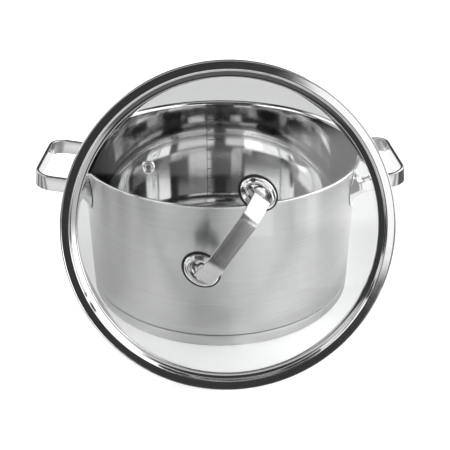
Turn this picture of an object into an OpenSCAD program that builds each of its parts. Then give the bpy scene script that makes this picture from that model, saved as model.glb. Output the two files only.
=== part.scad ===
// Steel canning pot with a banded glass lid that leans against its front rim.
// Frame: origin at the centre of the pot's underside, +Z up, side handles along X,
// the lid on the -Y side with its handle outwards. Millimetres.

/* [Pot] */
// Inner radius of the straight wall
pot_inner_r = 119.5; // [118.5:0.5:120.5]
// Thickness of the drawn wall and floor
wall_t = 1; // [0.8:0.1:1.2]
// Height from the table to the top of the lip
pot_h = 133.2; // [128:0.2:150]
// Outer radius of the rolled lip
lip_r = 124.2; // [123.8:0.2:126]
// Radius of the bead that the lip is rolled into
lip_bead_r = 1.1; // [0.9:0.1:1.4]

/* [Base] */
// Height of the steel cap that wraps round the base
cap_h = 12.6; // [11:0.2:14]
// Thickness of the cap's sheet
cap_t = 0.8; // [0.6:0.1:1]
// Thickness of the aluminium heat-spreading disc
core_t = 6; // [4:0.5:7]
// Radius of the aluminium disc
core_r = 112; // [105:1:113]

/* [Side handles] */
// Distance from the pot's axis to the outer face of a handle
handle_reach = 160; // [150:1:168]
// Distance between the outer faces of a handle's two legs
handle_span = 86.4; // [80:0.2:92]
// Height of the strap that a handle is bent from
strap_h = 13; // [11:0.5:15]
// Thickness of that strap
strap_t = 3; // [2.5:0.5:4]
// Centre-line radius of the two outer bends
handle_bend_r = 14; // [10:1:18]
// Upward slope of the handle, away from the pot
handle_rise = 9; // [0:1:12]
// Height of the strap's middle where its legs leave the feet
handle_z = 111.5; // [105:0.5:115]

/* [Handle feet] */
// Width of the oval flange of a foot, along the wall
foot_w = 26; // [20:1:28]
// Height of the oval flange of a foot
foot_h = 33; // [26:1:36]
// How far a foot flares out from the wall to the strap
foot_len = 10; // [8:0.5:12]

/* [Lid] */
// Outer radius of the lid's rolled edge
lid_r = 123.2; // [122.8:0.2:124.2]
// Radius of the bead along that edge
edge_bead_r = 0.7; // [0.6:0.1:0.8]
// Radius of the step between the outer flange and the sunken ledge over the glass
step_r = 116; // [115.9:0.1:116.2]
// Radius of the window of clear glass
window_r = 111.2; // [110.5:0.1:111.8]
// Thickness of the tempered glass
glass_t = 4; // [3.5:0.5:4]
// Height of the glass dome at its middle, above its edge
dome_h = 3; // [2:0.5:3]
// Lean of the lid, from lying flat to standing upright
lid_tilt = 72.3; // [70:0.1:74]
// Turn of the leaning lid round the pot, from dead ahead
lean_turn = 1.5; // [-5:0.5:5]
// Sideways shift of the leaning lid
lean_shift = 1.2; // [-5:0.1:5]

/* [Lid handle] */
// Direction of the handle across the leaning lid, up from the horizontal
grip_angle = 53; // [45:1:60]
// Distance from the lid's middle to each leg
grip_leg = 35.2; // [32:0.1:36]
// Half length of the flat crown
grip_crown = 21; // [18:0.5:23]
// Height of the crown's top above the glass
grip_h = 43.5; // [38:0.5:46]
// Height of the sharp bend at the top of each leg, above the glass
grip_shoulder_h = 29.5; // [26:0.5:32]
// Width of the strap
grip_w = 13.4; // [11:0.2:14]
// Thickness of the strap
grip_t = 2; // [1.6:0.2:2.4]

/* [Rosettes] */
// Length of a rosette, across the strap
rosette_l = 28.5; // [27:0.5:30]
// Width of a rosette, along the strap
rosette_w = 22; // [21:0.5:23]
// Height of a rosette above its gasket
rosette_h = 8; // [7:0.5:9]
// Length and width of the well in its top
well_l = 20; // [19:0.5:21]
well_w = 13; // [12.6:0.2:14]
// Thickness of the gasket under a rosette
gasket_t = 1.6; // [1.2:0.2:2]
// Diameter of the screw that holds a rosette
screw_d = 5; // [4:0.5:5]

/* [Steam vent] */
// Distance of the vent from the lid's middle
vent_at = 75.4; // [70:0.2:80]
// Diameter of the eyelet's flange
vent_d = 9.8; // [9:0.2:11]
// Diameter of the steam hole
vent_hole_d = 3.6; // [3:0.2:4]

/* [Hidden] */
$fn = 128;
oval_fn = 32;

steel = "silver";
satin = "lightgray";
alloy = "gainsboro";
rubber = [0.1, 0.1, 0.1];
clear = [0.75, 0.85, 0.85, 0.4];

pot_outer_r = pot_inner_r + wall_t;
floor_z = cap_t + core_t + wall_t;
cap_r = pot_outer_r - 0.1;
joggle = cap_t + 0.1;
cap_corner_r = 5;
floor_corner_r = 4.6;
lip_flare_r = 4;
lip_bead_at = lip_r - lip_bead_r;
lip_bead_z = pot_h - lip_bead_r;

leg_y = handle_span / 2 - strap_t / 2;
bar_x = handle_reach - strap_t / 2;
foot_turn = asin(leg_y / pot_outer_r);
foot_root_x = pot_outer_r * cos(foot_turn);
foot_tip_x = foot_root_x + foot_len;
leg_start_x = foot_tip_x - 1;

// Heights on the lid, measured from the plane of its rolled edge
glass_edge_top = -4.5;
glass_r = 113.8;
glass_edge_under = glass_edge_top - glass_t;
flange_low = 0.1;
flange_rise = 0.08;
skirt_r = 116.8;
skirt_low = -10.4;
band_t = 0.8;
skirt_in_r = skirt_r - band_t;
return_r = 112;
ledge_low = glass_edge_top + 0.8;
ledge_high = glass_edge_top + 1.6;
ledge_under = glass_edge_top + 0.95;
lap_r = 113;

grip_base = glass_edge_top + dome_h * (1 - pow(grip_leg / glass_r, 2));
rosette_base = grip_base + gasket_t;
well_floor = rosette_base + 2;
boss_top = rosette_base + 5;
boss_r = 4.8;
hole_r = 4.2;
clamp_under = grip_base - glass_t;
bush_d = 13;
bush_t = 1.4;
washer_d = 12;
washer_t = 1;
head_d = 9;
head_t = 2.6;

vent_base = glass_edge_top + dome_h * (1 - pow(vent_at / glass_r, 2));
vent_tube_r = 2.7;
vent_hole_r = 3.2;
vent_seal_t = 0.5;

// The leaning lid rests its edge on the table and its glass on the pot's lip
lean_gap = 0.3;
touch_height = 18;
touch_under = glass_edge_under + dome_h * (1 - pow(touch_height / glass_r, 2));
touch_w = touch_under - lean_gap - lip_bead_r;
lid_z = (lid_r - edge_bead_r) * sin(lid_tilt) + edge_bead_r;
lid_y = (touch_w - (lip_bead_z - lid_z) * cos(lid_tilt)) / sin(lid_tilt) - lip_bead_at;

function arc(c, r, a0, a1, n = 12) =
    [for (i = [0 : n]) let (a = a0 + (a1 - a0) * i / n) c + r * [cos(a), sin(a)]];
function unit(v) = v / norm(v);
function across(v) = [-v[1], v[0]];
function flipped(l) = [for (i = [len(l) - 1 : -1 : 0]) l[i]];

// Edge of a bent strip at distance d to the left of its centre line
function strip_edge(p, r, d, n = 8) = concat(
    [p[0] + d * across(unit(p[1] - p[0]))],
    [for (i = [1 : len(p) - 2])
        let (u = unit(p[i] - p[i - 1]), v = unit(p[i + 1] - p[i]),
            s = sign(cross(u, v)), turn = acos(u * v),
            c = p[i] - u * r[i] * tan(turn / 2) + s * r[i] * across(u))
        for (k = [0 : n])
            let (a = atan2(-s * across(u)[1], -s * across(u)[0]) + s * turn * k / n)
            c + (r[i] - s * d) * [cos(a), sin(a)]],
    [p[len(p) - 1] + d * across(unit(p[len(p) - 1] - p[len(p) - 2]))]);

// Flat strip of thickness t bent along the points p with the centre-line radii r
module strip(p, r, t) {
    polygon(concat(strip_edge(p, r, t / 2), flipped(strip_edge(p, r, -t / 2))));
}

function dome(r) = glass_edge_top + dome_h * (1 - pow(r / glass_r, 2));

module oval(l, w, h) {
    scale([l / w, 1, 1]) cylinder(d = w, h = h, $fn = oval_fn);
}

// Moves a piece drawn flat on the lid, dome up, to where the lid leans
module on_lid() {
    rotate([0, 0, lean_turn]) translate([lean_shift, lid_y, lid_z])
        rotate([lid_tilt, 0, 0]) children();
}

// The two ends of the lid's handle: side is 1 for the upper, -1 for the lower
module at_leg(side) {
    on_lid() rotate([0, 0, grip_angle]) translate([side * grip_leg, 0, 0]) children();
}

module at_vent() {
    on_lid() rotate([0, 0, grip_angle + 87]) translate([vent_at, 0, 0]) children();
}

// Glass in the lid's own frame, used to trim what is clamped against it
module glass_body() {
    rings = 12;
    top = [for (i = [0 : rings]) [glass_r * i / rings, dome(glass_r * i / rings)]];
    under = [for (i = [rings : -1 : 0])
        [glass_r * i / rings, dome(glass_r * i / rings) - glass_t]];
    rotate_extrude() polygon(concat(top, under));
}

module pot_shell() {
    low_in = pot_inner_r - joggle;
    low_out = pot_outer_r - joggle;
    under = floor_z - wall_t;
    flare = [lip_r - 0.7, pot_h - lip_flare_r];
    color(satin) rotate_extrude() {
        polygon(concat(
            [[0, under]],
            arc([low_out - floor_corner_r - wall_t, under + floor_corner_r + wall_t],
                floor_corner_r + wall_t, -90, 0),
            [[low_out, cap_h], [pot_outer_r, cap_h + joggle]],
            arc(flare, flare[0] - pot_outer_r, 180, 90),
            flipped(arc(flare, flare[0] - pot_inner_r, 180, 90)),
            [[pot_inner_r, cap_h + joggle + 1], [low_in, cap_h]],
            flipped(arc([low_out - floor_corner_r - wall_t, floor_z + floor_corner_r],
                floor_corner_r, -90, 0)),
            [[0, floor_z]]));
        translate([lip_bead_at, lip_bead_z]) circle(r = lip_bead_r, $fn = 32);
    }
}

module base_core() {
    color(alloy) translate([0, 0, cap_t]) cylinder(r = core_r, h = core_t);
}

module base_cap() {
    color(steel) rotate_extrude() polygon(concat(
        [[0, 0]],
        arc([cap_r - cap_corner_r, cap_corner_r], cap_corner_r, -90, 0),
        [[cap_r, cap_h - 0.3], [cap_r - 0.3, cap_h], [cap_r - cap_t, cap_h]],
        flipped(arc([cap_r - cap_corner_r, cap_corner_r], cap_corner_r - cap_t, -90, 0)),
        [[0, cap_t]]));
}

// One bent-strap loop: side is 1 for the right of the pot, -1 for the left
module side_handle(side) {
    path = [[leg_start_x, -leg_y], [bar_x, -leg_y], [bar_x, leg_y], [leg_start_x, leg_y]];
    bends = [0, handle_bend_r, handle_bend_r, 0];
    color(satin) rotate([0, 0, side > 0 ? 0 : 180])
        translate([leg_start_x, 0, handle_z]) rotate([0, -handle_rise, 0])
            translate([-leg_start_x, 0, -strap_h / 2])
                linear_extrude(height = strap_h) strip(path, bends, strap_t);
}

module left_handle() { side_handle(-1); }
module right_handle() { side_handle(1); }

// Flared foot between a leg and the wall; end is 1 for the +Y leg of the right handle
module foot(side, end) {
    steps = 4;
    flare_power = 2.6;
    color(steel) rotate([0, 0, side > 0 ? 0 : 180]) difference() {
        for (k = [0 : steps - 1]) hull() for (t = [k / steps, (k + 1) / steps]) {
            grow = pow(t, flare_power);
            translate([foot_tip_x + (foot_root_x - 0.5 - foot_tip_x) * t, end * leg_y,
                    handle_z - 2.5 * t])
                rotate([0, 90 - handle_rise * (1 - t), end * foot_turn * t])
                    translate([0, 0, -0.3])
                        oval(strap_h + 1 + (foot_h - strap_h - 1) * grow,
                            strap_t + 2 + (foot_w - strap_t - 2) * grow, 0.6);
        }
        translate([0, 0, handle_z - foot_h]) cylinder(r = pot_outer_r, h = 2 * foot_h);
        translate([leg_start_x, 0, handle_z]) rotate([0, -handle_rise, 0])
            translate([0, end * leg_y - strap_t / 2, -strap_h / 2])
                cube([foot_len, strap_t, strap_h]);
    }
}

module left_front_foot() { foot(-1, 1); }
module left_rear_foot() { foot(-1, -1); }
module right_front_foot() { foot(1, -1); }
module right_rear_foot() { foot(1, 1); }

module lid_glass() {
    color(clear) on_lid() difference() {
        glass_body();
        for (side = [-1, 1]) rotate([0, 0, grip_angle]) translate([side * grip_leg, 0, -20])
            cylinder(r = hole_r, h = 40);
        rotate([0, 0, grip_angle + 87]) translate([vent_at, 0, -20])
            cylinder(r = vent_hole_r, h = 40);
    }
}

module lid_band() {
    edge_r = lid_r - edge_bead_r;
    root_r = step_r + 1;
    flange_high = flange_low + (edge_r - edge_bead_r - root_r) * flange_rise;
    corner = arc([root_r, flange_low - 1], 1, 172, 97, 8);
    bead = arc([edge_r, 0], edge_bead_r, 180 - asin(flange_high / edge_bead_r), -140, 24);
    color(steel) on_lid() rotate_extrude() polygon(concat(
        [[window_r, glass_edge_top], [window_r, glass_edge_top + 0.4],
            [window_r + 0.5, ledge_low], [step_r - 0.6, ledge_high],
            [step_r - 0.3, ledge_high + 0.4]],
        corner,
        bead,
        [[skirt_r, flange_low - band_t], [skirt_r, skirt_low + 0.6],
            [skirt_r - 0.6, skirt_low], [return_r, skirt_low],
            [return_r, skirt_low + band_t], [skirt_in_r, skirt_low + band_t],
            [skirt_in_r, ledge_under], [lap_r, glass_edge_top + 0.2],
            [window_r + 1, glass_edge_top]]));
}

module band_gasket() {
    color(rubber) on_lid() difference() {
        rotate_extrude() polygon([[return_r, skirt_low + band_t],
            [skirt_in_r, skirt_low + band_t], [skirt_in_r, ledge_under],
            [lap_r, glass_edge_top + 0.2], [lap_r, glass_edge_top - 1],
            [return_r, glass_edge_top - 1]]);
        glass_body();
    }
}

module lid_handle() {
    top = grip_base + grip_h - grip_t / 2;
    shoulder = grip_base + grip_shoulder_h;
    path = [[-grip_leg, boss_top], [-grip_leg, shoulder], [-grip_crown, top],
        [grip_crown, top], [grip_leg, shoulder], [grip_leg, boss_top]];
    bends = [0, 2, 10, 10, 2, 0];
    color(satin) on_lid() rotate([0, 0, grip_angle]) rotate([90, 0, 0])
        translate([0, 0, -grip_w / 2]) linear_extrude(height = grip_w)
            strip(path, bends, grip_t);
}

// Threaded block welded under a leg, standing on the floor of the rosette's well
module boss(side) {
    color(steel) at_leg(side) difference() {
        translate([0, 0, well_floor]) cylinder(r = boss_r, h = boss_top - well_floor);
        translate([0, 0, well_floor - 1]) cylinder(d = screw_d, h = boss_top - well_floor - 0.5);
    }
}

module upper_boss() { boss(1); }
module lower_boss() { boss(-1); }

module rosette(side) {
    rim = 1.6;
    color(steel) at_leg(side) rotate([0, 0, 90]) difference() {
        hull() {
            translate([0, 0, rosette_base]) oval(rosette_l, rosette_w, 1);
            translate([0, 0, rosette_base + rosette_h * 0.5])
                oval(rosette_l - 1.6, rosette_w - 1.6, 0.5);
            translate([0, 0, rosette_base + rosette_h - 0.6])
                oval(well_l + 2 * rim, well_w + 2 * rim, 0.6);
        }
        hull() {
            translate([0, 0, well_floor]) oval(well_l - 3, well_w - 2, 0.5);
            translate([0, 0, rosette_base + rosette_h]) oval(well_l, well_w, 1);
        }
        translate([0, 0, rosette_base - 1]) cylinder(d = screw_d, h = 6);
    }
}

module upper_rosette() { rosette(1); }
module lower_rosette() { rosette(-1); }

module gasket(side) {
    lap = 1.25;
    color(rubber) difference() {
        at_leg(side) rotate([0, 0, 90]) difference() {
            translate([0, 0, grip_base - 1])
                oval(rosette_l + 2 * lap, rosette_w + 2 * lap, gasket_t + 1);
            translate([0, 0, grip_base - 2]) cylinder(d = screw_d, h = 8);
        }
        on_lid() glass_body();
    }
}

module upper_gasket() { gasket(1); }
module lower_gasket() { gasket(-1); }

// Silicone bush: a sleeve in the glass hole with a flange against the underside
module bush(side) {
    color(rubber) difference() {
        at_leg(side) difference() {
            translate([0, 0, clamp_under - bush_t]) cylinder(d = bush_d, h = bush_t + 0.6);
            translate([0, 0, clamp_under - 5]) cylinder(d = screw_d, h = 12);
        }
        on_lid() glass_body();
    }
    color(rubber) at_leg(side) difference() {
        translate([0, 0, clamp_under - bush_t]) cylinder(r = hole_r, h = bush_t + glass_t - 0.2);
        translate([0, 0, clamp_under - 5]) cylinder(d = screw_d, h = 12);
    }
}

module upper_bush() { bush(1); }
module lower_bush() { bush(-1); }

module washer(side) {
    color(steel) at_leg(side) translate([0, 0, clamp_under - bush_t - washer_t])
        difference() {
            cylinder(d = washer_d, h = washer_t);
            translate([0, 0, -1]) cylinder(d = screw_d, h = washer_t + 2);
        }
}

module upper_washer() { washer(1); }
module lower_washer() { washer(-1); }

module screw(side) {
    seat = clamp_under - bush_t - washer_t;
    color(steel) at_leg(side) difference() {
        union() {
            translate([0, 0, seat - head_t]) cylinder(d1 = head_d - 2, d2 = head_d, h = 1);
            translate([0, 0, seat - head_t + 1]) cylinder(d = head_d, h = head_t - 1);
            translate([0, 0, seat]) cylinder(d = screw_d, h = boss_top - 2 - seat);
        }
        for (a = [0, 90]) rotate([0, 0, a]) translate([-2.6, -0.5, seat - head_t - 1])
            cube([5.2, 1, 2.4]);
    }
}

module upper_screw() { screw(1); }
module lower_screw() { screw(-1); }

module vent_eyelet() {
    r = vent_d / 2;
    seat = vent_base + vent_seal_t;
    low = vent_base - glass_t - 1.6;
    color(steel) at_vent() rotate_extrude() polygon(concat(
        [[vent_hole_d / 2, low], [vent_tube_r, low], [vent_tube_r, seat], [r, seat]],
        arc([r - 1.2, seat], 1.2, 0, 90, 6),
        [[vent_hole_d / 2 + 1, seat + 1.2], [vent_hole_d / 2, seat + 0.4]]));
}

module vent_gasket() {
    color(rubber) difference() {
        at_vent() difference() {
            translate([0, 0, vent_base - 0.5]) cylinder(d = vent_d - 0.6, h = vent_seal_t + 0.5);
            translate([0, 0, vent_base - 3]) cylinder(r = vent_tube_r, h = 6);
        }
        on_lid() glass_body();
    }
    color(rubber) at_vent() difference() {
        translate([0, 0, vent_base - glass_t + 0.2]) cylinder(r = vent_hole_r, h = glass_t);
        translate([0, 0, vent_base - 8]) cylinder(r = vent_tube_r, h = 12);
    }
}

module vent_back_ring() {
    color(steel) difference() {
        at_vent() difference() {
            translate([0, 0, vent_base - glass_t - 1]) cylinder(d = vent_d - 1, h = 1.4);
            translate([0, 0, vent_base - glass_t - 2]) cylinder(r = vent_tube_r, h = 4);
        }
        on_lid() glass_body();
    }
}

pot_shell();
base_core();
base_cap();
left_handle();
right_handle();
left_front_foot();
left_rear_foot();
right_front_foot();
right_rear_foot();
lid_glass();
lid_band();
band_gasket();
lid_handle();
upper_boss();
lower_boss();
upper_rosette();
lower_rosette();
upper_gasket();
lower_gasket();
upper_bush();
lower_bush();
upper_washer();
lower_washer();
upper_screw();
lower_screw();
vent_eyelet();
vent_gasket();
vent_back_ring();
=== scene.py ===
"""Steel canning pot with its banded glass lid leaning on the front rim: looks, light and camera.

Lengths in this file are millimetres in the shape code, and MM turns them into metres.
"""

import math

import bmesh
import bpy
from mathutils import Matrix, Vector


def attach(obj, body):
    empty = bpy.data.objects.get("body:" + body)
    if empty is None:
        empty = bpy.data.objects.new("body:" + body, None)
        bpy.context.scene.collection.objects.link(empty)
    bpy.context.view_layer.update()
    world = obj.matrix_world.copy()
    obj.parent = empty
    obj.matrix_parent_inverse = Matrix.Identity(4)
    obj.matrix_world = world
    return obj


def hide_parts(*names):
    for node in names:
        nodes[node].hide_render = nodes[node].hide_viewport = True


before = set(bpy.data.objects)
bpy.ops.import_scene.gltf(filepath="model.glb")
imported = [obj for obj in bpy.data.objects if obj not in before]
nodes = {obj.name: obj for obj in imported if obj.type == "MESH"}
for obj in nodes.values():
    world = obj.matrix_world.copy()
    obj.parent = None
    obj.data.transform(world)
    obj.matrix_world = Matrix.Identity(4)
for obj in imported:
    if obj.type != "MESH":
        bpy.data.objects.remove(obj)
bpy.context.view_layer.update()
MM = 0.001

# ---------------------------------------------------------------- dimensions, as in the CAD model

POT_R_IN = 119.5
WALL = 1.0
POT_R = POT_R_IN + WALL
POT_H = 133.2
LIP_R = 124.2
LIP_BEAD = 1.1
FLARE = 4.0
CAP_H = 12.6
CAP_T = 0.8
CAP_R = POT_R - 0.1
FLOOR_Z = 7.8
JOGGLE = CAP_T + 0.1

STRAP_H = 13.0
STRAP_T = 3.0
LEG_Y = 41.7
BAR_X = 158.5
BEND_R = 14.0
RISE = 9.0
HANDLE_Z = 111.5
FOOT_W = 26.0
FOOT_H = 33.0
FOOT_LEN = 10.0
FOOT_TURN = math.degrees(math.asin(LEG_Y / POT_R))
FOOT_ROOT_X = POT_R * math.cos(math.radians(FOOT_TURN))
FOOT_TIP_X = FOOT_ROOT_X + FOOT_LEN
LEG_START_X = FOOT_TIP_X - 1

GLASS_TOP = -4.5
GLASS_R = 113.8
GLASS_T = 4.0
DOME = 3.0

WINDOW_R = 111.2
STEP_R = 116.0
EDGE_R = 122.5
EDGE_BEAD = 0.7
SKIRT_R = 116.8
SKIRT_LOW = -10.4
SKIRT_T = 0.8
HEM_R = 112.0
FLANGE_LOW = 0.1
FLANGE_RISE = 0.08

GRIP_ANGLE = 53.0
GRIP_LEG = 35.2
GRIP_W = 13.4
GRIP_T = 2.0
GRIP_H = 43.5
GRIP_SHOULDER = 29.5
GRIP_CROWN = 21.0
GRIP_HOLE = 4.2
SEAL_T = 1.6
SEAL_LAP = 1.6
ROSETTE_L = 28.5
ROSETTE_W = 22.0
ROSETTE_H = 8.0
WELL_L = 20.0
WELL_W = 13.0


def dome(r):
    """Height of the glass's upper face, r from its middle."""
    return GLASS_TOP + DOME * (1 - (r / GLASS_R) ** 2)


GRIP_BASE = dome(GRIP_LEG)
ROSETTE_BASE = GRIP_BASE + SEAL_T
BOSS_TOP = ROSETTE_BASE + 5
VENT_OUT = 75.4
VENT_ANGLE = GRIP_ANGLE + 87
VENT_HOLE = 3.2
VENT_BORE = 1.8
VENT_TUBE = 5.6
VENT_BASE = dome(VENT_OUT)

# The lid stands on its rolled edge, and its glass leans on the pot's lip
LID_TILT = math.radians(72.3)
LEAN_TURN = 1.5
LEAN_X = 1.2
LEAN_AT = 18
LEAN_GAP = 0.3
LID_Z = EDGE_R * math.sin(LID_TILT) + EDGE_BEAD
_touch = dome(LEAN_AT) - GLASS_T - LEAN_GAP - LIP_BEAD
_lip_drop = (POT_H - LIP_BEAD - LID_Z) * math.cos(LID_TILT)
LID_Y = (_touch - _lip_drop) / math.sin(LID_TILT) - (LIP_R - LIP_BEAD)
LID = (
    Matrix.Rotation(math.radians(LEAN_TURN), 4, "Z")
    @ Matrix.Translation(Vector((LEAN_X, LID_Y, LID_Z)) * MM)
    @ Matrix.Rotation(LID_TILT, 4, "X")
)
GRIP = LID @ Matrix.Rotation(math.radians(GRIP_ANGLE), 4, "Z")


# ---------------------------------------------------------------- shader helpers


def grey(v):
    return (v, v, v, 1.0)


class Tree:
    """A node tree with short calls for the nodes used here."""

    def __init__(self, tree):
        self.t = tree
        tree.nodes.clear()

    def n(self, kind, **props):
        node = self.t.nodes.new(kind)
        for key, value in props.items():
            setattr(node, key, value)
        return node

    def put(self, socket, value):
        if isinstance(value, bpy.types.NodeSocket):
            self.t.links.new(value, socket)
        elif value is not None:
            socket.default_value = value

    def math(self, op, a, b=None):
        node = self.n("ShaderNodeMath", operation=op)
        self.put(node.inputs[0], a)
        self.put(node.inputs[1], b)
        return node.outputs[0]

    def ramp(self, value, lo, hi, a=0.0, b=1.0, smooth=True):
        kind = "SMOOTHSTEP" if smooth else "LINEAR"
        node = self.n("ShaderNodeMapRange", interpolation_type=kind)
        for k, v in zip(("Value", "From Min", "From Max", "To Min", "To Max"), (value, lo, hi, a, b)):
            self.put(node.inputs[k], v)
        return node.outputs[0]

    def choose(self, switch, off, on):
        """off where switch is 0, on where it is 1."""
        return self.ramp(switch, 0, 1, off, on, smooth=False)

    def stops(self, value, pairs):
        """A curve through (position, value) pairs, positions from 0 to 1."""
        node = self.n("ShaderNodeValToRGB")
        node.color_ramp.interpolation = "EASE"
        marks = node.color_ramp.elements
        while len(marks) > 1:
            marks.remove(marks[-1])
        first, *rest = pairs
        marks[0].position = first[0]
        marks[0].color = grey(first[1])
        for at, v in rest:
            marks.new(at).color = grey(v)
        self.put(node.inputs[0], value)
        return node.outputs[0]

    def mix(self, factor, a, b):
        node = self.n("ShaderNodeMix", data_type="RGBA")
        self.put(node.inputs[0], factor)
        self.put(node.inputs[6], a)
        self.put(node.inputs[7], b)
        return node.outputs[2]

    def split(self, v):
        node = self.n("ShaderNodeSeparateXYZ")
        self.put(node.inputs[0], v)
        return node.outputs

    def scaled(self, v, scale):
        node = self.n("ShaderNodeVectorMath", operation="MULTIPLY")
        self.put(node.inputs[0], v)
        node.inputs[1].default_value = scale
        return node.outputs[0]

    def noise(self, v, scale, detail=2.0, rough=0.5):
        node = self.n("ShaderNodeTexNoise")
        self.put(node.inputs["Vector"], v)
        node.inputs["Scale"].default_value = scale
        node.inputs["Detail"].default_value = detail
        node.inputs["Roughness"].default_value = rough
        return node.outputs[0]

    def bump(self, height, strength, distance):
        node = self.n("ShaderNodeBump")
        node.inputs["Strength"].default_value = strength
        node.inputs["Distance"].default_value = distance
        self.put(node.inputs["Height"], height)
        return node.outputs[0]

    def first_hit(self):
        """1 for a ray that no shiny or dull face has sent on, else 0."""
        path = self.n("ShaderNodeLightPath").outputs
        return self.math("LESS_THAN", self.math("ADD", path["Glossy Depth"], path["Diffuse Depth"]), 0.5)


def new_material(name):
    m = bpy.data.materials.new(name)
    m.use_nodes = True
    return m, Tree(m.node_tree)


def finish(tree, **sockets):
    """Ends a material in one Principled shader; Base_Color stands for Base Color."""
    bsdf = tree.n("ShaderNodeBsdfPrincipled")
    for key, value in sockets.items():
        tree.put(bsdf.inputs[key.replace("_", " ")], value)
    out = tree.n("ShaderNodeOutputMaterial")
    tree.put(out.inputs["Surface"], bsdf.outputs[0])
    return bsdf


# ---------------------------------------------------------------- materials


def brushed_rough(t, lines, broad, rough, dip):
    fine = t.ramp(lines, 0.25, 0.75, rough * 0.85, rough * 1.15)
    return t.math("ADD", fine, t.ramp(broad, 0.3, 0.7, dip, 0.02))


def lay_grain(t, bsdf, aniso, **tangent):
    """Stretches the highlights across the brushed lines."""
    bsdf.inputs["Anisotropic"].default_value = aniso
    bsdf.inputs["Anisotropic Rotation"].default_value = 0.25
    t.put(bsdf.inputs["Tangent"], t.n("ShaderNodeTangent", **tangent).outputs[0])


def brushed_ring(name, tone, rough, aniso, grain):
    """Steel with fine lines that run round the object's Z axis."""
    m, t = new_material(name)
    at = t.n("ShaderNodeTexCoord").outputs["Object"]
    lines = t.noise(t.scaled(at, (5, 5, 4200)), 1.0, 3, 0.6)
    broad = t.noise(t.scaled(at, (7, 7, 60)), 1.0, 2)
    smear = t.noise(t.scaled(at, (16, 16, 22)), 1.0, 3)
    strokes = t.noise(t.scaled(at, (9, 9, 1000)), 1.0, 2, 0.6)
    streaks = t.math("ADD", t.math("MULTIPLY", lines, 0.4), t.math("MULTIPLY", strokes, 0.6))
    shade = t.mix(streaks, grey(tone * 0.8), grey(tone * 1.2))
    shade = t.mix(t.ramp(smear, 0.42, 0.72, 0, 0.10), shade, grey(tone * 0.82))
    r = brushed_rough(t, lines, broad, rough, -0.012)
    bsdf = finish(t, Base_Color=shade, Metallic=1.0, Roughness=r)
    lay_grain(t, bsdf, aniso, direction_type="RADIAL", axis="Z")
    t.put(bsdf.inputs["Normal"], t.bump(lines, grain, 0.00002))
    return m


def brushed_strip(name, tone, rough, aniso, grain):
    """Steel with fine lines along U of the mesh's map, which is in metres."""
    m, t = new_material(name)
    uv = t.n("ShaderNodeTexCoord").outputs["UV"]
    lines = t.noise(t.scaled(uv, (26, 3400, 0)), 1.0, 3, 0.6)
    broad = t.noise(t.scaled(uv, (40, 160, 0)), 1.0, 2)
    shade = t.mix(lines, grey(tone * 0.9), grey(tone * 1.07))
    r = brushed_rough(t, lines, broad, rough, -0.02)
    bsdf = finish(t, Base_Color=shade, Metallic=1.0, Roughness=r)
    lay_grain(t, bsdf, aniso, direction_type="UV_MAP", uv_map="map")
    t.put(bsdf.inputs["Normal"], t.bump(lines, grain, 0.00003))
    return m


def polished(name, tone, rough, wave=0.0, haze=0.02, root=None):
    """Mirror-polished steel, slightly wavy as pressed sheet is. root paints a dark contact shade on V of the
    map beyond it.
    """
    m, t = new_material(name)
    at = t.n("ShaderNodeTexCoord").outputs["Object"]
    soft = t.noise(at, 45, 3)
    fine = t.noise(t.scaled(at, (60, 60, 900)), 1.0, 2)
    shade = t.mix(soft, grey(tone * 0.97), grey(tone * 1.02))
    r = t.math("ADD", t.ramp(soft, 0.35, 0.75, rough, rough + haze), t.ramp(fine, 0.3, 0.7, 0, 0.012))
    # Painted contact shade: V of the map beyond root turns almost black
    if root:
        v = t.split(t.n("ShaderNodeTexCoord").outputs["UV"])[1]
        shade = t.mix(t.ramp(v, root, root + 0.0004), shade, grey(0.05))
    bsdf = finish(t, Base_Color=shade, Metallic=1.0, Roughness=r)
    if wave:
        t.put(bsdf.inputs["Normal"], t.bump(t.noise(at, 9, 1), wave, 0.001))
    return m


def silicone(name):
    m, t = new_material(name)
    at = t.n("ShaderNodeTexCoord").outputs["Object"]
    dust = t.noise(at, 900, 4, 0.7)
    broad = t.noise(at, 60, 2)
    shade = t.mix(t.ramp(dust, 0.5, 0.8), grey(0.012), grey(0.03))
    r = t.ramp(broad, 0.3, 0.7, 0.42, 0.55)
    bsdf = finish(t, Base_Color=shade, Roughness=r)
    t.put(bsdf.inputs["Normal"], t.bump(dust, 0.15, 0.00005))
    return m


def tempered_glass(name):
    m, t = new_material(name)
    at = t.n("ShaderNodeTexCoord").outputs["Object"]
    haze = t.noise(at, 25, 3)
    r = t.ramp(haze, 0.45, 0.8, 0.0, 0.012)
    bsdf = finish(t, Roughness=r)
    bsdf.inputs["Base Color"].default_value = (0.965, 0.975, 0.972, 1)
    bsdf.inputs["Transmission Weight"].default_value = 1.0
    bsdf.inputs["IOR"].default_value = 1.5
    return m


def etched(name):
    m, t = new_material(name)
    at = t.n("ShaderNodeTexCoord").outputs["Object"]
    grain = t.noise(at, 2500, 2)
    shade = t.mix(grain, grey(0.02), grey(0.05))
    finish(t, Base_Color=shade, Metallic=0.2, Roughness=t.ramp(grain, 0.3, 0.7, 0.5, 0.65))
    return m


def aluminium(name):
    m, t = new_material(name)
    at = t.n("ShaderNodeTexCoord").outputs["Object"]
    grain = t.noise(t.scaled(at, (900, 40, 40)), 1.0, 3)
    shade = t.mix(grain, grey(0.7), grey(0.8))
    finish(t, Base_Color=shade, Metallic=1.0, Roughness=t.ramp(grain, 0.3, 0.7, 0.35, 0.5))
    return m


def joint_shade(name):
    """Painted shade: dark, dull steel down in the gap over the base cap."""
    m, t = new_material(name)
    at = t.n("ShaderNodeTexCoord").outputs["Object"]
    mottle = t.noise(at, 300, 3)
    shade = t.mix(mottle, grey(0.03), grey(0.09))
    finish(t, Base_Color=shade, Metallic=0.3, Roughness=t.ramp(mottle, 0.3, 0.7, 0.6, 0.8))
    return m
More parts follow.
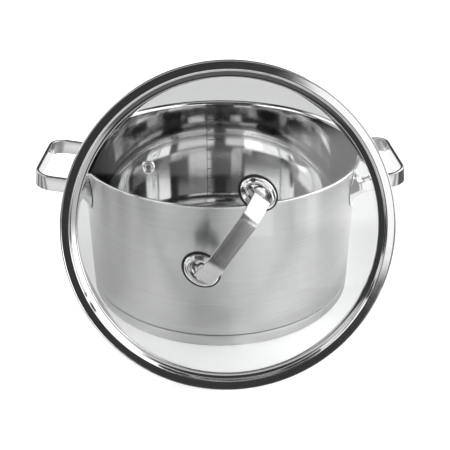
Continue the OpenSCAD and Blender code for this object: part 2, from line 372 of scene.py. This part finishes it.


# How far the maps of an oval piece reach round it and along a foot, and where a foot's painted contact shade
# begins
OVAL_MAP = 0.09
FOOT_MAP = 0.012
FOOT_SHADE_LINE = 0.0107

OUTSIDE = brushed_ring("pot_outside_steel", 0.68, 0.32, 0.8, 0.2)
INSIDE = polished("pot_inside_steel", 0.70, 0.045, wave=0.10)
LIP = polished("lip_steel", 0.74, 0.07)
CAP = brushed_ring("base_cap_steel", 0.68, 0.32, 0.8, 0.2)
STRAP = brushed_strip("side_handle_steel", 0.68, 0.09, 0.3, 0.15)
GRIP_STEEL = brushed_strip("lid_handle_steel", 0.57, 0.25, 0.2, 0.3)
BAND = polished("lid_band_steel", 0.70, 0.035, haze=0.015)
POLISHED = polished("polished_steel", 0.72, 0.04)
CUP = polished("rosette_steel", 0.84, 0.09)
RUBBER = silicone("black_silicone")
GLASS = tempered_glass("lid_glass")
ETCH = etched("etched_marks")
ALUMINIUM = aluminium("core_aluminium")
SEAM = joint_shade("seam_shadow")
# The feet's steel, with a painted contact shade line on the flange where they meet the wall
FOOT_STEEL = polished("handle_foot_steel", 0.70, 0.05, root=FOOT_SHADE_LINE)

# ---------------------------------------------------------------- mesh helpers


def arc(cx, cy, r, a0, a1, n=12):
    """n + 1 points on an arc between two angles in degrees."""
    turns = [math.radians(a0 + (a1 - a0) * i / n) for i in range(n + 1)]
    return [(cx + r * math.cos(a), cy + r * math.sin(a)) for a in turns]


def polar(r, a):
    return r * math.cos(math.radians(a)), r * math.sin(math.radians(a))


def lengths(points, closed=True):
    """Metres travelled at each point, and back at the first one if closed."""
    out = [0.0]
    for p, q in zip(points, points[1:] + (points[:1] if closed else [])):
        out.append(out[-1] + math.dist(p, q) * MM)
    return out


def shade_smooth(mesh, angle):
    """Smooth shading with an edge where faces meet at more than angle; 0 for no edges."""
    for p in mesh.polygons:
        p.use_smooth = True
    if angle:
        mesh.set_sharp_from_angle(angle=math.radians(angle))


def add_object(name, bm, materials, matrix=None, angle=40):
    mesh = bpy.data.meshes.new(name)
    if matrix is not None:
        bm.transform(matrix)
    bm.normal_update()
    bm.to_mesh(mesh)
    bm.free()
    shade_smooth(mesh, angle)
    obj = bpy.data.objects.new(name, mesh)
    bpy.context.scene.collection.objects.link(obj)
    for m in materials if isinstance(materials, list) else [materials]:
        mesh.materials.append(m)
    return obj


def dress(node_names, material):
    """Gives CAD nodes that stay visible their material."""
    for node in node_names:
        nodes[node].data.materials.clear()
        nodes[node].data.materials.append(material)


def rings_mesh(rings, us, vs, closed=False, tags=None, caps=False, swap=False):
    """Faces between rows of points, each row a closed ring; closed joins the last row to the first.

    us and vs are the map's values round a row and from row to row; swap exchanges the two.
    """
    bm = bmesh.new()
    layer = bm.loops.layers.uv.new("map")
    rows = [[bm.verts.new(p) for p in ring] for ring in rings]
    n = len(rings[0])
    for j in range(len(rows) if closed else len(rows) - 1):
        row, after = rows[j], rows[(j + 1) % len(rows)]
        for i in range(n):
            k = (i + 1) % n
            f = bm.faces.new((row[i], row[k], after[k], after[i]))
            if tags:
                f.material_index = tags[j]
            corners = ((i, j), (i + 1, j), (i + 1, j + 1), (i, j + 1))
            for loop, (a, b) in zip(f.loops, corners):
                loop[layer].uv = (vs[b], us[a]) if swap else (us[a], vs[b])
    if caps:
        bm.faces.new(list(reversed(rows[0])))
        bm.faces.new(rows[-1])
    return bm


def clean(bm):
    """Welds rings that shrank to a point and turns every face outwards."""
    bmesh.ops.remove_doubles(bm, verts=bm.verts, dist=1e-7)
    bmesh.ops.recalc_face_normals(bm, faces=bm.faces)
    return bm


def lathe(name, profile, materials, seg=256, closed=True, tags=None, matrix=None, angle=40):
    """Turns a profile of (radius, height) round Z. closed joins its last point to its first."""
    widest = max(r for r, z in profile)
    us = [2 * math.pi * widest * MM * i / seg for i in range(seg + 1)]
    turns = [2 * math.pi * i / seg for i in range(seg)]
    rings = [[Vector((-math.sin(a) * r, math.cos(a) * r, z)) * MM for a in turns] for r, z in profile]
    bm = rings_mesh(rings, us, lengths(profile, closed), closed, tags)
    return add_object(name, clean(bm), materials, matrix, angle)


def oval_rings(name, levels, material, matrix, seg=96, angle=35):
    """A closed solid through a stack of ovals: length along Y, width along X, and height."""
    turns = [2 * math.pi * i / seg for i in range(seg)]
    rings = [
        [Vector((w / 2 * math.cos(a), l / 2 * math.sin(a), z)) * MM for a in turns]
        for l, w, z in levels
    ]
    us = [OVAL_MAP * i / seg for i in range(seg + 1)]
    bm = rings_mesh(rings, us, lengths([(l / 2, z) for l, w, z in levels]), closed=True)
    return add_object(name, clean(bm), material, matrix, angle)


def rounded_rect(w, h, r, n=4):
    """Corner-rounded rectangle about the origin, anticlockwise."""
    out = []
    for i, (x, y) in enumerate(((1, 1), (-1, 1), (-1, -1), (1, -1))):
        out += arc(x * (w / 2 - r), y * (h / 2 - r), r, 90 * i, 90 * i + 90, n)
    return out


def turned(v, a):
    return Vector((v.x * math.cos(a) - v.y * math.sin(a), v.x * math.sin(a) + v.y * math.cos(a)))


def bent_path(points, radii, n, step=3.0):
    """Points and directions along a polyline whose corners are rounded."""
    pts = [Vector(p) for p in points]
    out = [(pts[0], (pts[1] - pts[0]).normalized())]

    def straight_to(end, way):
        start = out[-1][0]
        k = max(1, int((end - start).length / step))
        out.extend([(start.lerp(end, j / k), way) for j in range(1, k)])

    for before, at, after, r in zip(pts, pts[1:], pts[2:], radii[1:]):
        u = (at - before).normalized()
        v = (after - at).normalized()
        turn = u.angle(v)
        side = 1 if u.x * v.y - u.y * v.x > 0 else -1
        start = at - u * r * math.tan(turn / 2)
        spoke = Vector((u.y, -u.x)) * side * r
        straight_to(start, u)
        for k in range(n + 1):
            a = turn * k / n * side
            out.append((start - spoke + turned(spoke, a), turned(u, a)))
    last = (pts[-1] - pts[-2]).normalized()
    straight_to(pts[-1], last)
    out.append((pts[-1], last))
    return out


def strap(name, points, radii, thick, wide, edge, material, matrix, n):
    """A flat strip bent in its own X-Y plane; its width runs along Z."""
    path = bent_path(points, radii, n)
    section = rounded_rect(thick, wide, edge)
    rings = [[Vector((p.x - t.y * a, p.y + t.x * a, b)) * MM for a, b in section] for p, t in path]
    travelled = lengths([p for p, t in path], closed=False)
    bm = rings_mesh(rings, lengths(section), travelled, caps=True, swap=True)
    bmesh.ops.recalc_face_normals(bm, faces=bm.faces)
    return add_object(name, bm, material, matrix, 50)


# ---------------------------------------------------------------- camera

CAMERA_AT = (-0.0083, -0.5848, 0.3637)
LOOKS_DOWN = 28.13
LOOKS_RIGHT = 1.234
camera_data = bpy.data.cameras.new("camera")
camera = bpy.data.objects.new("camera", camera_data)
bpy.context.scene.collection.objects.link(camera)
bpy.context.scene.camera = camera
camera_data.lens = 56
camera_data.sensor_width = 36
camera_data.clip_start = 0.01
camera_data.clip_end = 60
camera.location = CAMERA_AT
camera.rotation_euler = (math.radians(90 - LOOKS_DOWN), 0, math.radians(-LOOKS_RIGHT))

# ---------------------------------------------------------------- pot

shell_low = POT_R - JOGGLE
shell_under = FLOOR_Z - WALL
corner = 4.6
corner_r = shell_low - corner - WALL
wall_heights = [30, 50, 70, 90, 110]
flare_c = (LIP_R - 0.7, POT_H - FLARE)
bead_c = (LIP_R - LIP_BEAD, POT_H - LIP_BEAD)
joggle_top = CAP_H + JOGGLE

under = [(0.0, shell_under)] + arc(corner_r, shell_under + corner + WALL, corner + WALL, -90, 0, 10)
outer = (
    under
    + [(shell_low, CAP_H + 0.05), (shell_low + 0.15, CAP_H + 0.25)]
    + [(POT_R - 0.2, joggle_top - 0.1), (POT_R, joggle_top + 0.5)]
    + [(POT_R, z) for z in wall_heights]
)
lip = arc(*flare_c, flare_c[0] - POT_R, 180, 112, 12) + arc(*bead_c, LIP_BEAD, -88, 100, 16)
inner = (
    list(reversed(arc(*flare_c, flare_c[0] - POT_R_IN, 180, 93, 16)))
    + [(POT_R_IN, z) for z in reversed(wall_heights)]
    + [(POT_R_IN, joggle_top + 1.2), (POT_R_IN - 0.2, joggle_top + 0.6), (shell_low - WALL, CAP_H + 0.3)]
    + list(reversed(arc(corner_r, FLOOR_Z + corner, corner, -90, 0, 10)))
    + [(r, FLOOR_Z) for r in (100.0, 60.0, 20.0, 0.0)]
)
# Places in the material list: outside, lip, inside, and painted shade in the gap over the base cap
tags = [0] * len(outer) + [1] * (len(lip) + 1) + [2] * (len(inner) - 1)
# The shoulder down in that gap is painted dark as shade
tags[len(under) - 1 : len(under) + 2] = [3, 3, 3]
shell_materials = [OUTSIDE, LIP, INSIDE, SEAM]
pot = lathe("pot_shell_skin", outer + lip + inner, shell_materials, 288, True, tags, angle=30)
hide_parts("pot_shell")
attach(pot, "pot")

CAP_CORNER = 5
cap_c = CAP_R - CAP_CORNER
cap_profile = (
    [(0.0, 0.0), (60.0, 0.0), (cap_c - 8, 0.0)]
    + arc(cap_c, CAP_CORNER, CAP_CORNER, -90, 0, 12)
    + [(CAP_R, CAP_H - 0.35), (CAP_R - 0.1, CAP_H - 0.1), (CAP_R - 0.35, CAP_H), (CAP_R - CAP_T, CAP_H)]
    + list(reversed(arc(cap_c, CAP_CORNER, CAP_CORNER - CAP_T, -90, 0, 8)))
    + [(0.0, CAP_T)]
)
cap = lathe("base_cap_skin", cap_profile, CAP, 288, True, angle=30)
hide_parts("base_cap")
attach(cap, "pot")

dress(["base_core"], ALUMINIUM)

# ---------------------------------------------------------------- litre marks, etched into the back wall

SCALE_TURN = 6.0
SCALE_LOW = 24.1
LITRE_RISE = 22.3
LITRES = 5
LINE_HALF = 0.26
TICK_HALF = 0.36
LONG_TICK = 7.6
SHORT_TICK = 4.2
NUMERAL_AT = 9.4
NUMERAL_SIZE = 5.2
NUMERAL_DROP = 1.8
MARK_R = POT_R_IN - 0.04
MARK_LIFT = 0.01
MARK_SINK = 0.03


def on_wall(s, z, lift):
    """Point on the inner wall, s mm to the right of the scale's line as seen from the front."""
    a = math.radians(90 + SCALE_TURN) - s / MARK_R
    return Vector(((MARK_R - lift) * math.cos(a), (MARK_R - lift) * math.sin(a), z)) * MM


def mark(bm, s0, s1, z0, z1):
    """A bar that follows the wall in steps of about a millimetre."""
    k = max(1, int(s1 - s0))
    low, high, back_low, back_high = [
        [bm.verts.new(on_wall(s0 + (s1 - s0) * i / k, z, lift)) for i in range(k + 1)]
        for lift in (MARK_LIFT, -MARK_SINK)
        for z in (z0, z1)
    ]
    for i in range(k):
        bm.faces.new((low[i], low[i + 1], high[i + 1], high[i]))
        bm.faces.new((back_low[i], back_high[i], back_high[i + 1], back_low[i + 1]))
        bm.faces.new((low[i], back_low[i], back_low[i + 1], low[i + 1]))
        bm.faces.new((high[i], high[i + 1], back_high[i + 1], back_high[i]))
    bm.faces.new((low[0], high[0], back_high[0], back_low[0]))
    bm.faces.new((low[k], back_low[k], back_high[k], high[k]))


bm = bmesh.new()
mark(bm, -LINE_HALF, LINE_HALF, 24.0, 120.0)
for i in range(2 * LITRES - 1):
    z = SCALE_LOW + LITRE_RISE * i / 2
    mark(bm, 0.0, SHORT_TICK if i % 2 else LONG_TICK, z - TICK_HALF, z + TICK_HALF)
bmesh.ops.recalc_face_normals(bm, faces=bm.faces)
scale_lines = add_object("litre_marks", bm, ETCH, None, 60)
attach(scale_lines, "pot")

for i in range(LITRES):
    data = bpy.data.curves.new(f"litre_{i + 1}", "FONT")
    data.body = f"{i + 1}.0"
    data.size = NUMERAL_SIZE * MM
    data.resolution_u = 4
    text = bpy.data.objects.new(f"litre_{i + 1}_text", data)
    bpy.context.scene.collection.objects.link(text)
    bpy.context.view_layer.update()
    flat = bpy.data.meshes.new_from_object(text.evaluated_get(bpy.context.evaluated_depsgraph_get()))
    bpy.data.objects.remove(text)
    bm = bmesh.new()
    bm.from_mesh(flat)
    bpy.data.meshes.remove(flat)
    bmesh.ops.remove_doubles(bm, verts=bm.verts, dist=1e-7)
    z0 = SCALE_LOW + LITRE_RISE * i - NUMERAL_DROP
    for v in bm.verts:
        v.co = on_wall(NUMERAL_AT + v.co.x / MM, z0 + v.co.y / MM, MARK_LIFT)
    bmesh.ops.recalc_face_normals(bm, faces=bm.faces)
    numeral = add_object(f"litre_number_{i + 1}", bm, ETCH, None, 60)
    for p in numeral.data.polygons:
        p.use_smooth = False
    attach(numeral, "pot")

# ---------------------------------------------------------------- side handles and their feet


def tilt_up(side):
    """From a handle drawn flat to where it is: its own plane rises away from the pot."""
    turn = Matrix.Rotation(0 if side > 0 else math.pi, 4, "Z")
    place = Matrix.Translation(Vector((LEG_START_X, 0, HANDLE_Z)) * MM)
    back = Matrix.Translation(Vector((-LEG_START_X, 0, 0)) * MM)
    return turn @ place @ Matrix.Rotation(math.radians(-RISE), 4, "Y") @ back


for side, name in ((1, "right"), (-1, "left")):
    loop = strap(
        f"{name}_handle_strap",
        [(LEG_START_X, -LEG_Y), (BAR_X, -LEG_Y), (BAR_X, LEG_Y), (LEG_START_X, LEG_Y)],
        [0, BEND_R, BEND_R, 0],
        STRAP_T,
        STRAP_H,
        0.7,
        STRAP,
        tilt_up(side),
        n=20,
    )
    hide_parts(f"{name}_handle")
    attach(loop, "pot")


def off_wall(p, lift, exactly=False):
    """Point p moved out until it is lift beyond the pot's wall, or just there if exactly."""
    k = (POT_R + lift) / math.hypot(p.x, p.y)
    return Vector((p.x * k, p.y * k, p.z)) if exactly or k > 1 else p


def foot(name, side, end):
    """Trumpet-shaped foot: oval at the wall, drawn in to the strap."""
    seg, steps = 72, 22
    flange = 0.75
    turn = Matrix.Rotation(0 if side > 0 else math.pi, 4, "Z")

    def ring(t, inset=0.0, push=0.0):
        """t runs from 0 at the strap to 1 at the wall."""
        grow = t**2.6
        w = STRAP_T + 2 + (FOOT_W - STRAP_T - 2) * grow
        h = STRAP_H + 1 + (FOOT_H - STRAP_H - 1) * grow
        x = FOOT_TIP_X + (FOOT_ROOT_X - FOOT_TIP_X) * t
        z = HANDLE_Z - 2.5 * t
        power = 0.62 + 0.38 * min(1, t * 1.6)
        m = (
            Matrix.Translation(Vector((x, end * LEG_Y, z)))
            @ Matrix.Rotation(math.radians(end * FOOT_TURN * t), 4, "Z")
            @ Matrix.Rotation(math.radians(-RISE * (1 - t)), 4, "Y")
        )
        out = []
        for i in range(seg):
            a = 2 * math.pi * i / seg
            c, s = math.cos(a), math.sin(a)
            cy = math.copysign(abs(c) ** power, c) * (w / 2 - inset)
            cz = math.copysign(abs(s) ** power, s) * (h / 2 - inset)
            out.append(m @ Vector((push, cy, cz)))
        return out

    rings = [ring(0.0, inset, push) for inset, push in ((1.15, 0.0), (0.5, 0.18), (0.15, 0.1))]
    rings += [ring(k / steps) for k in range(1, steps)]
    rings = [[off_wall(p, flange) for p in r] for r in rings]
    # The last rings lie on the wall: a thin rounded flange edge
    root = ring(1.0)
    middle = sum(root, Vector()) / seg
    for lift, grow in ((flange, 1.0), (0.45, 1.012), (0.0, 1.012)):
        rings.append([off_wall(middle + (p - middle) * grow, lift, exactly=True) for p in root])
    rings = [[turn @ (p * MM) for p in r] for r in rings]
    us = [OVAL_MAP * i / seg for i in range(seg + 1)]
    # The flange rings lie past the foot steel's shade line in V, so they get the painted contact shade
    vs = [FOOT_MAP * i / len(rings) for i in range(len(rings) + 1)]
    bm = rings_mesh(rings, us, vs, caps=True)
    bmesh.ops.recalc_face_normals(bm, faces=bm.faces)
    obj = add_object(f"{name}_skin", bm, FOOT_STEEL, None, 45)
    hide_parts(name)
    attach(obj, "pot")


foot("right_rear_foot", 1, 1)
foot("right_front_foot", 1, -1)
foot("left_front_foot", -1, 1)
foot("left_rear_foot", -1, -1)

# ---------------------------------------------------------------- lid: glass, band, gasket

glass_top = [(GLASS_R * i / 24, dome(GLASS_R * i / 24)) for i in range(24)]
rim_z = dome(GLASS_R)
glass_edge = [
    (GLASS_R - 0.9, dome(GLASS_R - 0.9)),
    (GLASS_R - 0.25, rim_z - 0.25),
    (GLASS_R, rim_z - 0.9),
    (GLASS_R, rim_z - GLASS_T + 0.9),
    (GLASS_R - 0.25, rim_z - GLASS_T + 0.25),
    (GLASS_R - 0.9, dome(GLASS_R - 0.9) - GLASS_T),
]
glass_profile = glass_top + glass_edge + [(r, z - GLASS_T) for r, z in reversed(glass_top)]
glass = lathe("lid_glass_pane", glass_profile, GLASS, 256, False, matrix=LID, angle=50)


def cutter(r, x, y):
    bm = bmesh.new()
    bmesh.ops.create_cone(bm, cap_ends=True, segments=64, radius1=r * MM, radius2=r * MM, depth=0.04)
    bmesh.ops.translate(bm, verts=bm.verts, vec=Vector((x, y, 0)) * MM)
    return add_object("cutter", bm, GLASS, LID, 0)


holes = [
    (GRIP_HOLE, polar(GRIP_LEG, GRIP_ANGLE)),
    (GRIP_HOLE, polar(-GRIP_LEG, GRIP_ANGLE)),
    (VENT_HOLE, polar(VENT_OUT, VENT_ANGLE)),
]
for r, at in holes:
    tool = cutter(r, *at)
    mod = glass.modifiers.new("hole", "BOOLEAN")
    mod.object = tool
    mod.operation = "DIFFERENCE"
    mod.solver = "EXACT"
    bpy.context.view_layer.update()
    cut = bpy.data.meshes.new_from_object(glass.evaluated_get(bpy.context.evaluated_depsgraph_get()))
    glass.modifiers.clear()
    old = glass.data
    glass.data = cut
    bpy.data.meshes.remove(old)
    bpy.data.objects.remove(tool)
glass.data.materials.clear()
glass.data.materials.append(GLASS)
shade_smooth(glass.data, 50)
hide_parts("lid_glass")
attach(glass, "lid")

ledge_rise = [(r, GLASS_TOP + 0.84 + r * 0.19 + r * r * 0.009) for r in (0, 0.8, 1.6, 2.4, 3.2)]
flange_rise = [(r, FLANGE_LOW + r * FLANGE_RISE) for r in (0.2, 1.2, 2.2, 3.2, 4.2, 4.85)]
hem_top = SKIRT_LOW + SKIRT_T
skirt_in = SKIRT_R - SKIRT_T
band_profile = (
    [(WINDOW_R, GLASS_TOP + 0.02), (WINDOW_R + 0.03, GLASS_TOP + 0.3)]
    + arc(WINDOW_R + 0.5, GLASS_TOP + 0.33, 0.46, 172, 102, 6)
    + [(WINDOW_R + 0.9 + r, z) for r, z in ledge_rise]
    + arc(STEP_R - 0.72, GLASS_TOP + 1.94, 0.4, -76, -6, 6)
    + [(STEP_R - 0.16, -2.0)]
    + arc(STEP_R + 1, FLANGE_LOW - 1, 1.0, 172, 97, 8)
    + [(STEP_R + 1 + r, z) for r, z in flange_rise]
    + arc(EDGE_R, 0, EDGE_BEAD, 134, -140, 20)
    + [(120.0, -0.55), (SKIRT_R + 0.5, -0.7), (SKIRT_R + 0.15, -0.85), (SKIRT_R, -1.2), (SKIRT_R, hem_top)]
    + arc(skirt_in, hem_top, SKIRT_T, 0, -90, 6)
    + [(HEM_R + 0.5, SKIRT_LOW), (HEM_R + 0.1, SKIRT_LOW + 0.15), (HEM_R, SKIRT_LOW + 0.4)]
    + [(HEM_R + 0.1, SKIRT_LOW + 0.7), (HEM_R + 0.5, hem_top), (skirt_in, hem_top)]
    + [(skirt_in, GLASS_TOP + 0.95), (113.0, GLASS_TOP + 0.2), (112.3, GLASS_TOP + 0.02)]
)
band = lathe("lid_band_skin", band_profile, BAND, 320, True, matrix=LID, angle=32)
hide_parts("lid_band")
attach(band, "lid")

dress(["band_gasket"], RUBBER)

# ---------------------------------------------------------------- lid handle

top = GRIP_BASE + GRIP_H - GRIP_T / 2
shoulder = GRIP_BASE + GRIP_SHOULDER
stand = GRIP @ Matrix.Rotation(math.radians(90), 4, "X")
half = [(-GRIP_LEG, BOSS_TOP), (-GRIP_LEG, shoulder), (-GRIP_CROWN, top)]
grip = strap(
    "lid_handle_strap",
    half + [(-x, z) for x, z in reversed(half)],
    [0, 2, 10, 10, 2, 0],
    GRIP_T,
    GRIP_W,
    0.45,
    GRIP_STEEL,
    stand,
    n=12,
)
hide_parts("lid_handle")
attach(grip, "lid")


def slope(f, z):
    """An oval on the rosette's side; f runs from 0 at the foot of the slope to 1 at the rim of the well."""
    return (
        ROSETTE_L + (WELL_L + 2.4 - ROSETTE_L) * f,
        ROSETTE_W + (WELL_W + 2.4 - ROSETTE_W) * f,
        ROSETTE_BASE + z,
    )


def brim(grow, z):
    return (ROSETTE_L + grow, ROSETTE_W + grow, ROSETTE_BASE + z)


def well(grow_l, grow_w, z):
    return (WELL_L + grow_l, WELL_W + grow_w, ROSETTE_BASE + z)


def bore(d, z):
    return (d, d, ROSETTE_BASE + z)


def seal_edge(shrink, z):
    lap = 2 * SEAL_LAP
    return (ROSETTE_L + lap - shrink, ROSETTE_W + lap - shrink, GRIP_BASE + z)


brim_steps = ((-0.6, 0), (0, 0.15), (0, 1.0), (-0.3, 1.35))
slope_steps = (
    (0.06, 1.5), (0.14, 1.58), (0.20, 1.7), (0.26, 2.0), (0.33, 2.5), (0.42, 3.2),
    (0.55, 4.5), (0.68, 5.75), (0.80, 6.8), (0.90, 7.5), (0.97, 7.88),
)
well_steps = (
    (1.7, 1.7, ROSETTE_H),
    (1.1, 1.1, ROSETTE_H - 0.1),
    (0.5, 0.5, ROSETTE_H - 0.5),
    (0, 0, ROSETTE_H - 1.2),
    (-0.8, -0.6, 4.6),
    (-1.8, -1.2, 2.7),
    (-3.2, -2.2, 2.1),
    (-5, -3.6, 2.0),
)
rosette_levels = (
    [brim(*step) for step in brim_steps]
    + [slope(*step) for step in slope_steps]
    + [well(*step) for step in well_steps]
    + [bore(5.2, 2.0), bore(5.0, 1.8), bore(5.0, 0)]
)
seal_steps = ((0.5, 0.02), (0, 0.3), (0, 1.0), (0.3, 1.4), (0.9, SEAL_T))
seal_levels = [seal_edge(*step) for step in seal_steps] + [brim(0, 0), bore(6.0, 0), bore(6.0, 0.05 - SEAL_T)]
for side, name in ((1, "upper"), (-1, "lower")):
    at = GRIP @ Matrix.Translation(Vector((side * GRIP_LEG, 0, 0)) * MM)
    rosette = oval_rings(f"{name}_rosette_cup", rosette_levels, CUP, at)
    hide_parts(f"{name}_rosette")
    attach(rosette, "lid")

    seal = oval_rings(f"{name}_gasket_ring", seal_levels, RUBBER, at)
    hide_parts(f"{name}_gasket")
    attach(seal, "lid")

dress(["upper_bush", "lower_bush", "vent_gasket"], RUBBER)
dress([f"{end}_{part}" for part in ("boss", "washer", "screw") for end in ("upper", "lower")], POLISHED)
dress(["vent_back_ring"], POLISHED)

# ---------------------------------------------------------------- steam vent

vent_at = LID @ Matrix.Translation(Vector((*polar(VENT_OUT, VENT_ANGLE), 0)) * MM)
v0 = VENT_BASE + 0.5
vent_profile = (
    [(VENT_BORE, VENT_BASE - VENT_TUBE), (2.7, VENT_BASE - VENT_TUBE), (2.7, v0)]
    + [(4.6, v0), (4.85, v0 + 0.15), (4.9, v0 + 0.45)]
    + arc(3.85, v0 + 0.45, 1.05, 8, 96, 8)
    + [(3.35, v0 + 1.2), (3.05, v0 + 0.85), (2.85, v0 + 0.75)]
    + arc(2.35, v0 + 0.75, 0.55, 60, 170, 8)
    + [(VENT_BORE, v0 + 0.3)]
)
vent = lathe("vent_eyelet_skin", vent_profile, POLISHED, 96, True, matrix=vent_at, angle=45)
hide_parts("vent_eyelet")
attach(vent, "lid")

# ---------------------------------------------------------------- stage, world, light

FLOOR_SEEN = 0.58
FLOOR_DROP = 0.0002


def curve_by_bearing(t, bearing, pairs):
    """A curve through (degrees, value) pairs; 0 degrees is the front, and they grow to the right."""
    return t.stops(t.math("ADD", bearing, 0.5), [(a / 360 + 0.5, v) for a, v in pairs])


def floor_material():
    """A white table with painted light and shade: its glow and colour vary round the pot where the steel
    mirrors it, and it glows evenly when seen straight on.
    """
    m, t = new_material("floor_white")
    at = t.n("ShaderNodeTexCoord").outputs["Object"]
    direct = t.first_hit()
    x, y, _ = t.split(at)
    # Painted shade: the table seen in the steel darkens towards the front
    fade = t.ramp(y, -1.0, -0.22, 0.08, 1.0)
    bearing = t.math("MULTIPLY", t.math("ARCTAN2", x, t.math("MULTIPLY", y, -1.0)), 0.5 / math.pi)
    # Painted light: how brightly the table glows, seen from the pot, at each bearing
    glow = curve_by_bearing(t, bearing, (
        (-180, 0.45), (-130, 0.3), (-104, 0.08), (-85, 0.07), (-66, 0.11), (-50, 0.27), (-36, 0.35),
        (-26, 0.28), (-14, 0.2), (0, 0.28), (11, 0.52), (26, 0.66), (40, 0.52), (60, 0.27), (78, 0.2),
        (110, 0.45), (180, 0.45),
    ))
    reach = t.math("SQRT", t.math("ADD", t.math("MULTIPLY", x, x), t.math("MULTIPLY", y, y)))
    # Painted shade on the table close round the pot, on its right
    near_pot = t.ramp(reach, 0.195, 0.225, t.ramp(reach, 0.125, 0.165, 0.6, 0.9), 1.0)
    shade = t.ramp(bearing, 0.02, 0.06, 1.0, near_pot)
    # Farther out, painted dark and light bands on the table that only the handles show
    painted_bands = curve_by_bearing(t, bearing, (
        (-135, 1.0), (-104, 0.9), (-94, 0.15), (-84, 0.9), (-74, 0.2), (-64, 0.9), (-56, 0.3), (-48, 1.0),
        (47, 1.0), (55, 0.35), (66, 1.0), (77, 0.1), (120, 0.1), (140, 1.0),
    ))
    shade = t.math("MULTIPLY", shade, t.ramp(reach, 0.30, 0.33, 1.0, painted_bands))
    # Painted light that the steel mirrors: the glow, times the painted shade and the fade
    dim = t.math("MULTIPLY", t.math("MULTIPLY", glow, shade), fade)
    # Seen through the glass, its painted light falls off towards the back and the sides
    path = t.n("ShaderNodeLightPath")
    through = t.math("GREATER_THAN", path.outputs["Transmission Depth"], 0.5)
    sides = t.math("MULTIPLY", t.ramp(x, -0.2, 0.03, 0.45, 1.0), t.ramp(x, 0.06, 0.16, 1.0, 0.3))
    falloff = t.math("MULTIPLY", t.ramp(y, -0.1, 0.6, 0.85, 0.0), sides)
    lit = t.math("MULTIPLY", t.choose(through, 1.0, falloff), FLOOR_SEEN)
    tone = t.mix(t.noise(at, 40, 3), grey(0.80), grey(0.82))
    # In the steel, the table's colour carries the painted fade and shade too
    tone = t.mix(t.choose(direct, t.math("MULTIPLY", fade, shade), 1.0), grey(0.05), tone)
    # Through the glass, the table's colour is painted greyer towards the back
    tone = t.mix(t.math("MULTIPLY", through, t.ramp(y, 0.1, 0.5)), tone, grey(0.74))
    bsdf = finish(t, Base_Color=tone, Roughness=0.9)
    bsdf.inputs["Specular IOR Level"].default_value = 0.0
    bsdf.inputs["Emission Color"].default_value = grey(1)
    t.put(bsdf.inputs["Emission Strength"], t.choose(direct, dim, lit))
    return m


bm = bmesh.new()
bmesh.ops.create_grid(bm, x_segments=2, y_segments=2, size=6.0)
bmesh.ops.translate(bm, verts=bm.verts, vec=(0, 0, -FLOOR_DROP))
floor = add_object("floor", bm, floor_material(), None, 0)

world = bpy.data.worlds.new("studio")
bpy.context.scene.world = world
world.use_nodes = True
t = Tree(world.node_tree)
way = t.split(t.n("ShaderNodeTexCoord").outputs["Generated"])
azimuth = t.math("MULTIPLY", t.math("ARCTAN2", way[0], t.math("MULTIPLY", way[1], -1.0)), 180 / math.pi)
height = t.math("MULTIPLY", t.math("ARCSINE", way[2]), 180 / math.pi)


def window(az0, az1, el0, el1, soft_az, soft_el):
    """A soft-edged box of directions. Azimuth 0 is the front and grows to the right; 0 elevation is level."""
    a = t.math("MULTIPLY", t.ramp(azimuth, az0, az0 + soft_az), t.ramp(azimuth, az1 - soft_az, az1, 1, 0))
    b = t.math("MULTIPLY", t.ramp(height, el0, el0 + soft_el), t.ramp(height, el1 - soft_el, el1, 1, 0))
    return t.math("MULTIPLY", a, b)


# Each box: azimuth from and to, elevation from and to, brightness, softness sideways and up and down
total = 0.05
for az0, az1, el0, el1, power, soft_az, soft_el in (
    # tall windows to the right and left of the camera
    (34, 136, 23.5, 56, 2.5, 4, 0.8),
    (-88, -36, 23.6, 52, 2.4, 3, 0.8),
    # the same windows lower down, crossed by a bar
    (36, 84, 17.5, 20.6, 2.6, 6, 0.8),
    (-57, -27, 17.5, 20.6, 1.8, 4, 0.8),
    (34, 68, 21.6, 24.0, 1.0, 4, 0.6),
    (-57, -27, 21.6, 24.0, 0.9, 4, 0.6),
    (34, 112, 0, 17.5, 1.8, 2, 2),
    (-96, -38, 5, 17.5, 1.4, 4, 3),
    # behind the pot
    (-167, -120, 21.8, 23.9, 1.75, 7, 0.4),
    (138, 161, 21.8, 23.9, 1.15, 4, 0.4),
    (-190, -116, 21.0, 22.3, 0.8, 5, 0.4),
    (150, 190, 21.0, 22.3, 1.4, 5, 0.4),
    (-172, -98, 24.2, 27.5, 0.5, 8, 1.0),
    (110, 172, 24.2, 27.5, 0.2, 8, 1.0),
    (-173, -98, 26.5, 52, 1.5, 8, 2.0),
    (98, 173, 26.5, 52, 1.5, 8, 2.0),
    (-180, -98, -2, 18, 0.8, 8, 4.0),
    (98, 180, -2, 18, 0.8, 8, 4.0),
    # overhead
    (-180.1, 180.1, 66, 95, 0.5, 0.05, 8),
    # a narrow card for the lid's flange and a wide one for its glass
    (6.0, 10.0, 5.6, 12.6, 1.35, 0.8, 0.7),
    (-14, 16, 13.2, 18.2, 0.7, 4, 0.8),
    (11.6, 36, 5, 19.5, 2.5, 1.2, 3),
    (11.6, 36, -3, 7, 0.6, 1.2, 2),
    (18, 34, 19.5, 24.0, 1.1, 2, 1),
):
    total = t.math("ADD", t.math("MULTIPLY", window(az0, az1, el0, el1, soft_az, soft_el), power), total)
studio = t.n("ShaderNodeBackground")
t.put(studio.inputs["Strength"], total)
studio.inputs["Color"].default_value = grey(1)
plain = t.n("ShaderNodeBackground")
plain.inputs["Color"].default_value = grey(1)
plain.inputs["Strength"].default_value = 1.0
pick = t.n("ShaderNodeMixShader")
t.put(pick.inputs[0], t.first_hit())
t.put(pick.inputs[1], studio.outputs[0])
t.put(pick.inputs[2], plain.outputs[0])
t.put(t.n("ShaderNodeOutputWorld").inputs["Surface"], pick.outputs[0])

bpy.context.scene.view_settings.view_transform = "Standard"
bpy.context.scene.view_settings.look = "None"
